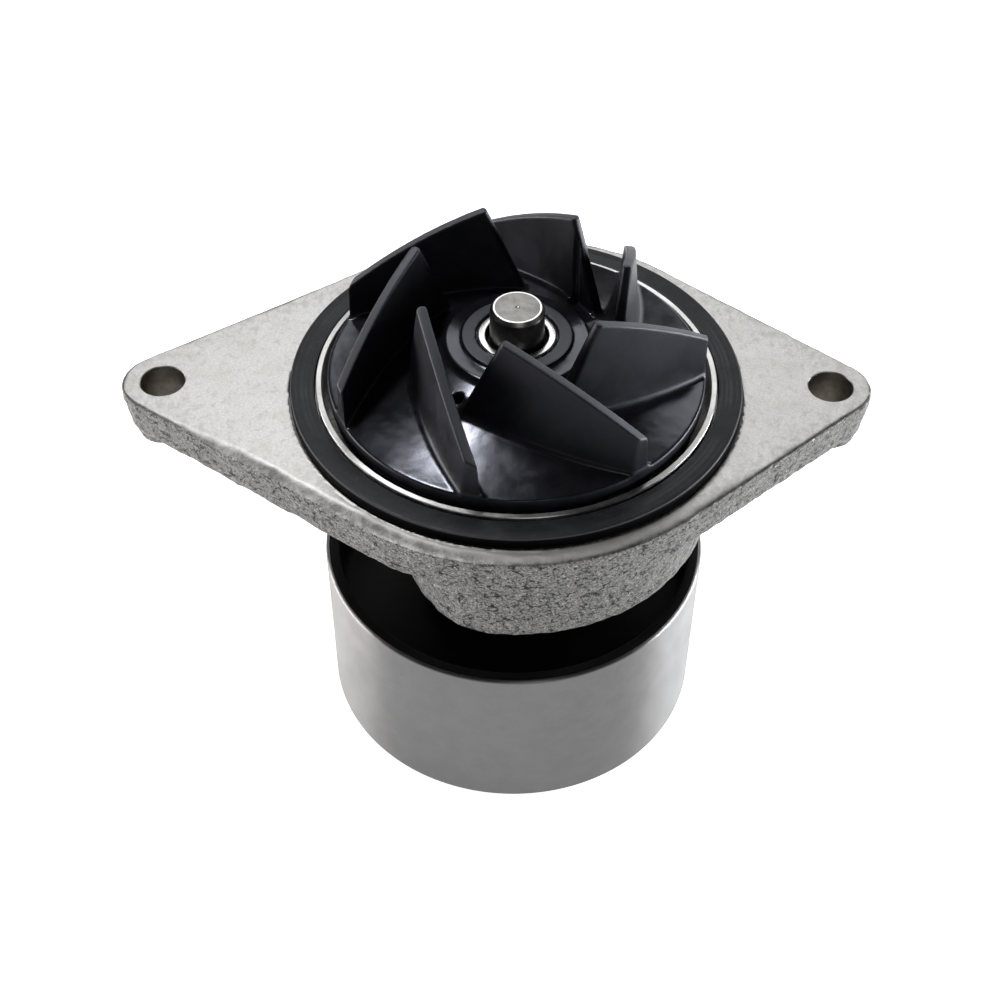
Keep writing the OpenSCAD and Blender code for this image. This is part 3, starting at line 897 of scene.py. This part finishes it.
def cast_aluminium():
    """Grey sand casting with a milled top face, which shows only where the cutter touched."""
    m = Shader("cast_aluminium")
    _, y, z, _ = m.parts()
    tilt = m.normal_z()
    milled = m.math("MULTIPLY", m.ramp(z, -0.22, -0.02), m.ramp(tilt, 0.93, 0.985))
    upward = m.ramp(tilt, 0.55, 0.85)
    near_edge = m.stored("near_edge")
    tone = m.noise(5.0, 4, 0.7)
    grain = m.noise(0.5, 3, 0.7)

    # rough skin: grains of sand, with dark seams and pits between them; the near-black in the seams and pits
    # is painted shade in the crevices
    seams = m.ramp(m.cell_edges(2.7, m.shifted(1.6, 1.5, (1, 1, 1.6))), 0.02, 0.12)
    broken = m.ramp(m.noise(1.8, 2, 0.6), 0.49, 0.59, 1.0, 0.0)
    pits = m.ramp(m.noise(0.9, 3, 0.75, m.stretched(1, 1, 1.7)), 0.375, 0.435)
    cracks = m.math("MULTIPLY", m.math("MAXIMUM", seams, broken), pits)
    closed = m.math("MAXIMUM", cracks, m.math("MULTIPLY", upward, 0.72))
    rough_grey = m.mix(m.ramp(grain, 0.34, 0.66), (0.050, 0.049, 0.048), (0.25, 0.248, 0.243))
    rough_grey = m.mix(m.ramp(tone, 0.40, 0.70, 0.0, 0.35), rough_grey, (0.12, 0.117, 0.113))
    # small bright specks on the skin are painted glints
    painted_glints = m.ramp(m.noise(0.7, 2, 0.6), 0.63, 0.70, 0.0, 0.5)
    rough_grey = m.mix(painted_glints, rough_grey, (0.60, 0.59, 0.58))
    clouds = m.noise(3.2, 4, 0.65, m.stretched(1.0, 0.6, 1.0))
    upward_grey = m.mix(m.ramp(clouds, 0.34, 0.62), (0.115, 0.113, 0.110), (0.235, 0.232, 0.227))
    # the skin's upward faces take a plainer, cloudy grey
    rough_grey = m.mix(m.math("MULTIPLY", upward, 0.85), rough_grey, upward_grey)
    # the lighter band where the flange's top edge rolls over to the side is a painted highlight
    rolled = m.math("MULTIPLY", m.ramp(tilt, 0.35, 0.6), m.ramp(tilt, 0.75, 0.92, 1.0, 0.0))
    painted_edge_highlight = m.math("MULTIPLY", rolled, m.ramp(z, -1.4, -0.7, 0.0, 0.45))
    rough_grey = m.mix(painted_edge_highlight, rough_grey, (0.50, 0.497, 0.49))
    # near-black painted shade in the seams and pits; the skin's upward faces get less of it
    rough_grey = m.mix(m.math("SUBTRACT", 1.0, closed), rough_grey, (0.008, 0.008, 0.008))

    # milled face: sandy where the cutter skipped, and darker along the front edge
    sandy = m.noise(1.7, 5, 0.66, m.stretched(1.0, 0.7, 1.0), 0.4)
    skipped = m.math("SUBTRACT", sandy, m.math("MULTIPLY", near_edge, 0.12))
    milled_grey = m.mix(m.ramp(skipped, 0.26, 0.52), (0.46, 0.455, 0.445), (0.62, 0.617, 0.607))
    patch = m.noise(9, 4, 0.65)
    milled_grey = m.mix(m.ramp(patch, 0.45, 0.68, 0.0, 0.4), milled_grey, (0.52, 0.50, 0.47))
    milled_grey = m.mix(m.ramp(grain, 0.42, 0.62, 0.32, 0.0), milled_grey, (0.33, 0.325, 0.315))
    ledge = m.math("MULTIPLY", m.ramp(near_edge, 0.3, 0.55), m.ramp(y, -44, -32, 0.75, 0.0))
    milled_grey = m.mix(ledge, milled_grey, (0.20, 0.198, 0.193))

    # the mesh carries the sand's relief; the skin adds a trace of it, and the milled face stays flat
    relief = m.math("MULTIPLY", sandy, m.math("SUBTRACT", 1.0, milled))
    roughness = m.math("ADD", m.math("MULTIPLY", tone, 0.2), m.ramp(milled, 0, 1, 0.36, 0.34))
    colour = m.mix(milled, rough_grey, milled_grey)
    return m.set(base_color=colour, metallic=0.8, roughness=roughness, normal=m.bump(relief, 0.012))


def turned_metal(
    name, dark, light, roughness, ring_depth=0.006, ring_mm=0.12, spots=0.0, streaks=0.0, highlight_ring_r=0.0
):
    """Metal with fine tool marks around the pump axis and faint stains.

    spots is the share of dark spots and streaks the anisotropy of the shine; the last argument is the radius
    of a thin bright ring, a painted highlight.
    """
    m = Shader(name)
    marks = m.noise(ring_mm, 3, 0.6, m.rings())
    broad = m.noise(2.5, 2, 0.5, m.rings())
    stain = m.noise(6, 4, 0.65)
    colour = m.mix(m.ramp(stain, 0.3, 0.7), dark, light)
    if spots:
        colour = m.mix(m.math("MULTIPLY", m.ramp(m.noise(1.2, 3, 0.7), 0.55, 0.72), spots), colour, dark)
    # a thin bright ring painted as a highlight on the end face near its edge
    if highlight_ring_r:
        r = m.parts()[3]
        begins = m.ramp(r, highlight_ring_r - 0.4, highlight_ring_r - 0.3)
        ends = m.ramp(r, highlight_ring_r, highlight_ring_r + 0.1, 1, 0)
        colour = m.mix(m.math("MULTIPLY", begins, ends), colour, (0.95, 0.95, 0.94))
    rough = m.math("ADD", m.math("MULTIPLY", marks, 0.16), m.math("MULTIPLY", stain, 0.12))
    rough = m.math("ADD", rough, roughness - 0.14)
    normal = m.bump(marks, ring_depth)
    normal = m.bump(broad, ring_depth * 0.8, normal)
    if streaks:
        around = m.tree.nodes.new("ShaderNodeTangent")
        around.direction_type = "RADIAL"
        around.axis = "Z"
        m.set(tangent=around.outputs[0], anisotropic=streaks, anisotropic_rotation=0.25)
    return m.set(base_color=colour, metallic=1.0, roughness=rough, normal=normal)


def rubber(name, dark, light, roughness=0.5):
    """Rubber with a faint bloom and wiped streaks on its top; its flanks are darkened to near black as
    painted shade and its rounded edges are lightened as a painted highlight.
    """
    m = Shader(name)
    bloom = m.noise(5, 4, 0.6)
    grain = m.noise(0.35, 2, 0.5)
    dust = m.ramp(m.noise(0.8, 2, 0.8), 0.66, 0.78)
    tilt = m.math("ABSOLUTE", m.normal_z())
    flat = m.ramp(tilt, 0.35, 0.9)
    painted_edge_highlight = m.math("MULTIPLY", m.ramp(tilt, 0.45, 0.7), m.ramp(tilt, 0.8, 0.97, 1.0, 0.0))
    colour = m.mix(m.ramp(bloom, 0.35, 0.7), dark, light)
    colour = m.mix(m.math("MULTIPLY", dust, 0.10), colour, (0.35, 0.35, 0.36))
    # flanks darkened to near black: painted shade
    colour = m.mix(flat, (0.002, 0.002, 0.002), colour)
    # lighter rounded edges: a painted highlight
    colour = m.mix(m.math("MULTIPLY", painted_edge_highlight, 0.5), colour, (0.12, 0.12, 0.13))
    streaks = m.ramp(m.noise(0.8, 3, 0.6, m.rings()), 0.42, 0.62)
    wiped = m.math("MULTIPLY", streaks, m.ramp(m.noise(14, 2, 0.5), 0.42, 0.6))
    rough = m.math("ADD", m.math("MULTIPLY", bloom, 0.22), roughness - 0.11)
    rough = m.math("SUBTRACT", rough, m.math("MULTIPLY", wiped, 0.24))
    gloss = m.ramp(flat, 0, 1, 0.04, 0.25)
    return m.set(base_color=colour, roughness=rough, specular_ior_level=gloss, normal=m.bump(grain, 0.02))


def moulded_plastic(name, dark, light, roughness=0.3, flank=0.2, cone=None):
    """Glass-filled plastic: faint flow marks, glossy where it faces up and rougher by flank on steep faces.

    cone is the height on the pump axis and the fall per millimetre of a cone; the blades' crests above it and
    the hub's end are scuffed.
    """
    m = Shader(name)
    flow = m.noise(9, 4, 0.6, None, 0.8)
    sink = m.noise(9, 2, 0.5)
    peel = m.noise(1.4, 2, 0.5)
    fibre = m.noise(0.3, 2, 0.6, m.stretched(1, 0.3, 1))
    colour = m.mix(m.ramp(flow, 0.35, 0.7), dark, light)
    steep = m.ramp(m.normal_z(), 0.5, 0.92, flank, 0.0)
    rough = m.math("ADD", m.math("MULTIPLY", flow, 0.25), roughness - 0.10)
    rough = m.math("ADD", rough, m.math("MULTIPLY", fibre, 0.06))
    rough = m.math("ADD", rough, steep)
    if cone:
        _, _, z, r = m.parts()
        clear = m.math("SUBTRACT", z, m.math("SUBTRACT", cone[0], m.math("MULTIPLY", r, cone[1])))
        crest = m.math("MULTIPLY", m.ramp(clear, 2.0, 3.0), m.ramp(m.normal_z(), 0.55, 0.8))
        on_hub = m.ramp(r, HUB_R - 0.3, HUB_R - 0.2, 1, 0)
        hub_end = m.math("MULTIPLY", on_hub, m.ramp(z, HUB_Z - 0.2, HUB_Z - 0.1))
        scuffed = m.math("MAXIMUM", crest, hub_end)
        colour = m.mix(scuffed, colour, (0.042, 0.042, 0.046))
        rough = m.math("ADD", rough, m.math("MULTIPLY", scuffed, 0.34))
    normal = m.bump(sink, 0.16)
    normal = m.bump(peel, 0.012, normal)
    normal = m.bump(fibre, 0.003, normal)
    gloss = m.ramp(steep, 0.0, flank, 0.7, 0.25)
    m.set(specular_ior_level=gloss, specular_tint=(0.83, 0.86, 1, 1))
    return m.set(base_color=colour, roughness=rough, normal=normal)


def coated(name, dark, light, roughness=0.5):
    """Thin black coating with a little orange peel and lighter, scuffed places."""
    m = Shader(name)
    cloud = m.noise(12, 3, 0.6)
    peel = m.noise(0.8, 2, 0.5)
    colour = m.mix(m.ramp(cloud, 0.3, 0.75), dark, light)
    rough = m.math("ADD", m.math("MULTIPLY", cloud, 0.25), roughness - 0.12)
    return m.set(base_color=colour, roughness=rough, specular_ior_level=0.15, normal=m.bump(peel, 0.03))


# ----------------------------------------------------------------------
# Build the pieces
# ----------------------------------------------------------------------
materials = {
    "cast": cast_aluminium(),
    "bored": turned_metal(
        "bored_aluminium", (0.42, 0.42, 0.41), (0.62, 0.62, 0.61), 0.36, ring_depth=0.01, streaks=0.8
    ),
    "drilled": turned_metal(
        "drilled_aluminium", (0.10, 0.088, 0.072), (0.22, 0.20, 0.17), 0.55, ring_depth=0.01, spots=0.5
    ),
    "rubber": rubber("flange_rubber", (0.006, 0.007, 0.009), (0.017, 0.018, 0.023)),
    "nitrile": rubber("bearing_rubber", (0.10, 0.03, 0.015), (0.17, 0.06, 0.035)),
    "ground": turned_metal(
        "ground_steel", (0.15, 0.146, 0.14), (0.30, 0.292, 0.282), 0.36, ring_depth=0.004, spots=0.6,
        highlight_ring_r=SHAFT_HIGHLIGHT_RING_R,
    ),
    "race": turned_metal("bearing_steel", (0.50, 0.50, 0.51), (0.68, 0.68, 0.69), 0.2, 0.002),
    "bright": turned_metal("bright_bush", (0.62, 0.62, 0.61), (0.80, 0.80, 0.79), 0.26, 0.003),
    "pulley_out": turned_metal(
        "turned_steel", (0.185, 0.184, 0.184), (0.215, 0.214, 0.214), 0.40, ring_depth=0.003, ring_mm=0.2,
        streaks=0.85,
    ),
    "black": coated("black_coating_and_shade", (0.003, 0.003, 0.003), (0.009, 0.009, 0.009), 0.6),
    "phosphate": turned_metal("phosphated_steel", (0.045, 0.045, 0.047), (0.085, 0.085, 0.088), 0.5, 0.006),
    "plastic": moulded_plastic(
        "impeller_plastic", (0.006, 0.006, 0.008), (0.012, 0.012, 0.016), roughness=0.15, flank=0.22,
        cone=(RIM_Z + CONE_SLOPE * IMPELLER_R, CONE_SLOPE),
    ),
    "nylon": moulded_plastic("cage_nylon", (0.45, 0.38, 0.22), (0.62, 0.55, 0.36), 0.45),
    "brass": turned_metal("drawn_brass", (0.55, 0.38, 0.14), (0.78, 0.60, 0.28), 0.3, 0.003),
    "wire": turned_metal("spring_wire", (0.42, 0.42, 0.43), (0.62, 0.62, 0.63), 0.3, 0.002),
    "carbon": coated("carbon_graphite", (0.02, 0.02, 0.021), (0.045, 0.045, 0.047), 0.45),
    "seat": turned_metal("seat_face", (0.10, 0.10, 0.105), (0.18, 0.18, 0.19), 0.25, 0.002),
}


def dress(obj, *names):
    """Gives the object these materials; its faces keep the numbers of their material slots."""
    polygons = obj.data.polygons
    numbers = np.zeros(len(polygons), np.int32)
    polygons.foreach_get("material_index", numbers)
    obj.data.materials.clear()
    for name in names:
        obj.data.materials.append(materials[name])
    polygons.foreach_set("material_index", np.minimum(numbers, len(names) - 1))


for make, finishes, body, slot, node in (
    (make_housing, ("cast", "bored", "drilled"), "housing_body", "cast_aluminium", "housing"),
    (make_flange_seal, ("rubber",), "housing_body", "seal_rubber", "flange_seal"),
    (make_impeller, ("plastic",), "rotor", "impeller_plastic", "impeller"),
    (make_shaft, ("ground",), "rotor", "shaft_steel", "pump_shaft"),
    (make_insert, ("bright", "black"), "rotor", "insert_metal", "impeller_insert"),
    (make_pulley, ("pulley_out", "black"), "rotor", "pulley_steel", "pulley_shell"),
    (make_pulley_hub, ("phosphate",), "rotor", "hub_paint", "pulley_hub"),
):
    piece = make()
    dress(piece, *finishes)
    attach(piece, body)
    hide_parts(node)

# the pieces inside keep the CAD's shapes
for names, finish in (
    (("bearing_outer_ring", "bearing_balls", "bearing_rollers"), "race"),
    (("bearing_seal_upper", "bearing_seal_lower"), "nitrile"),
    (("seal_case", "seat_sleeve"), "brass"),
    (("seal_bellows", "seat_cup", "slinger"), "rubber"),
    (("seal_spring", "seal_drive_band"), "wire"),
    (("seal_carbon_ring",), "carbon"),
    (("seat_ring",), "seat"),
    (("ball_cage", "roller_cage"), "nylon"),
):
    for name in names:
        dress(nodes[name], finish)

# ----------------------------------------------------------------------
# Stage, light and camera
# ----------------------------------------------------------------------


def make_floor():
    """A pale floor that glows by itself, like a light table."""
    size = 3000.0
    corners = [(-size, -size), (size, -size), (size, size), (-size, size)]
    obj = mesh_object("floor", [(x, y, PULLEY_LOW_Z) for x, y in corners], [(0, 1, 2, 3)])
    m = Shader("pale_floor")
    colour = m.mix(m.noise(200, 2, 0.5), (0.84, 0.84, 0.84), (0.88, 0.88, 0.88))
    m.set(base_color=colour, roughness=0.9, specular_ior_level=0.1)
    m.set(emission_color=(1, 1, 1, 1), emission_strength=0.92)
    obj.data.materials.append(m.material)


def soft_light(name, place, aim, size, power, colour=(1, 1, 1)):
    """A rectangular light at a place, in metres and watts, turned towards its aim."""
    data = bpy.data.lights.new(name, "AREA")
    data.shape = "RECTANGLE"
    data.size, data.size_y = size
    data.energy = power
    data.color = colour
    obj = bpy.data.objects.new(name, data)
    bpy.context.scene.collection.objects.link(obj)
    obj.location = place
    obj.rotation_mode = "QUATERNION"
    obj.rotation_quaternion = (Vector(aim) - Vector(place)).to_track_quat("-Z", "Y")


def make_world():
    """A dim room with a brighter wall behind the object; the camera itself sees a plain pale room."""
    world = bpy.data.worlds.new("studio")
    bpy.context.scene.world = world
    world.use_nodes = True
    tree = world.node_tree
    coords = tree.nodes.new("ShaderNodeTexCoord")
    parts = tree.nodes.new("ShaderNodeSeparateXYZ")
    tree.links.new(coords.outputs["Generated"], parts.inputs[0])
    glow = smooth_step(tree, parts.outputs[2], 0.05, 0.45, 1.0, 0.14)
    behind = smooth_step(tree, parts.outputs[1], -0.5, 0.6, 0.25, 0.9)
    product = tree.nodes.new("ShaderNodeMath")
    product.operation = "MULTIPLY"
    tree.links.new(glow, product.inputs[0])
    tree.links.new(behind, product.inputs[1])
    path = tree.nodes.new("ShaderNodeLightPath")
    choice = tree.nodes.new("ShaderNodeMix")
    tree.links.new(path.outputs["Is Camera Ray"], choice.inputs[0])
    tree.links.new(product.outputs[0], choice.inputs[2])
    choice.inputs[3].default_value = 0.95
    tree.links.new(choice.outputs[0], tree.nodes["Background"].inputs[1])


def make_light():
    """The key makes the disc shine, back lights the flange, and left and right draw the pulley's bands."""
    aim = (0, 0, -0.02)
    pulley = (0, 0, -0.06)
    soft_light("key", (-0.25, 0.20, 0.82), aim, (0.30, 0.12), 3.9)
    soft_light("back", (0.05, 0.75, 0.66), aim, (0.9, 0.40), 2.5)
    soft_light("back_right", (0.50, 0.80, 0.13), aim, (0.55, 0.35), 0.7)
    soft_light("front", (0.15, -0.75, 0.70), aim, (0.30, 0.20), 0.6)
    soft_light("left", (-0.78, 0.08, -0.02), pulley, (0.60, 0.16), 7.5, (1, 0.95, 0.93))
    soft_light("right", (0.78, 0.08, -0.02), pulley, (0.60, 0.16), 11.0, (0.97, 0.98, 1))


def make_camera():
    """Above the front of the pump, looking down at it."""
    elevation = math.radians(45.569)
    roll = math.radians(0.481)
    distance = 399.298
    target = Vector((-3.422, 0, -37.311))
    ahead = Vector((0, math.cos(elevation), -math.sin(elevation)))
    level = Vector((1, 0, 0))
    above = level.cross(ahead)
    right = level * math.cos(roll) + above * math.sin(roll)
    up = above * math.cos(roll) - level * math.sin(roll)
    data = bpy.data.cameras.new("camera")
    data.sensor_width = 36
    data.lens = 59.746
    data.clip_start, data.clip_end = 0.01, 20
    obj = bpy.data.objects.new("camera", data)
    bpy.context.scene.collection.objects.link(obj)
    turn = Matrix((right, up, -ahead)).transposed().to_4x4()
    obj.matrix_world = Matrix.Translation((target - ahead * distance) * MM) @ turn
    bpy.context.scene.camera = obj


make_floor()
make_world()
make_light()
make_camera()
view = bpy.context.scene.view_settings
view.view_transform = "Standard"
view.look = "None"
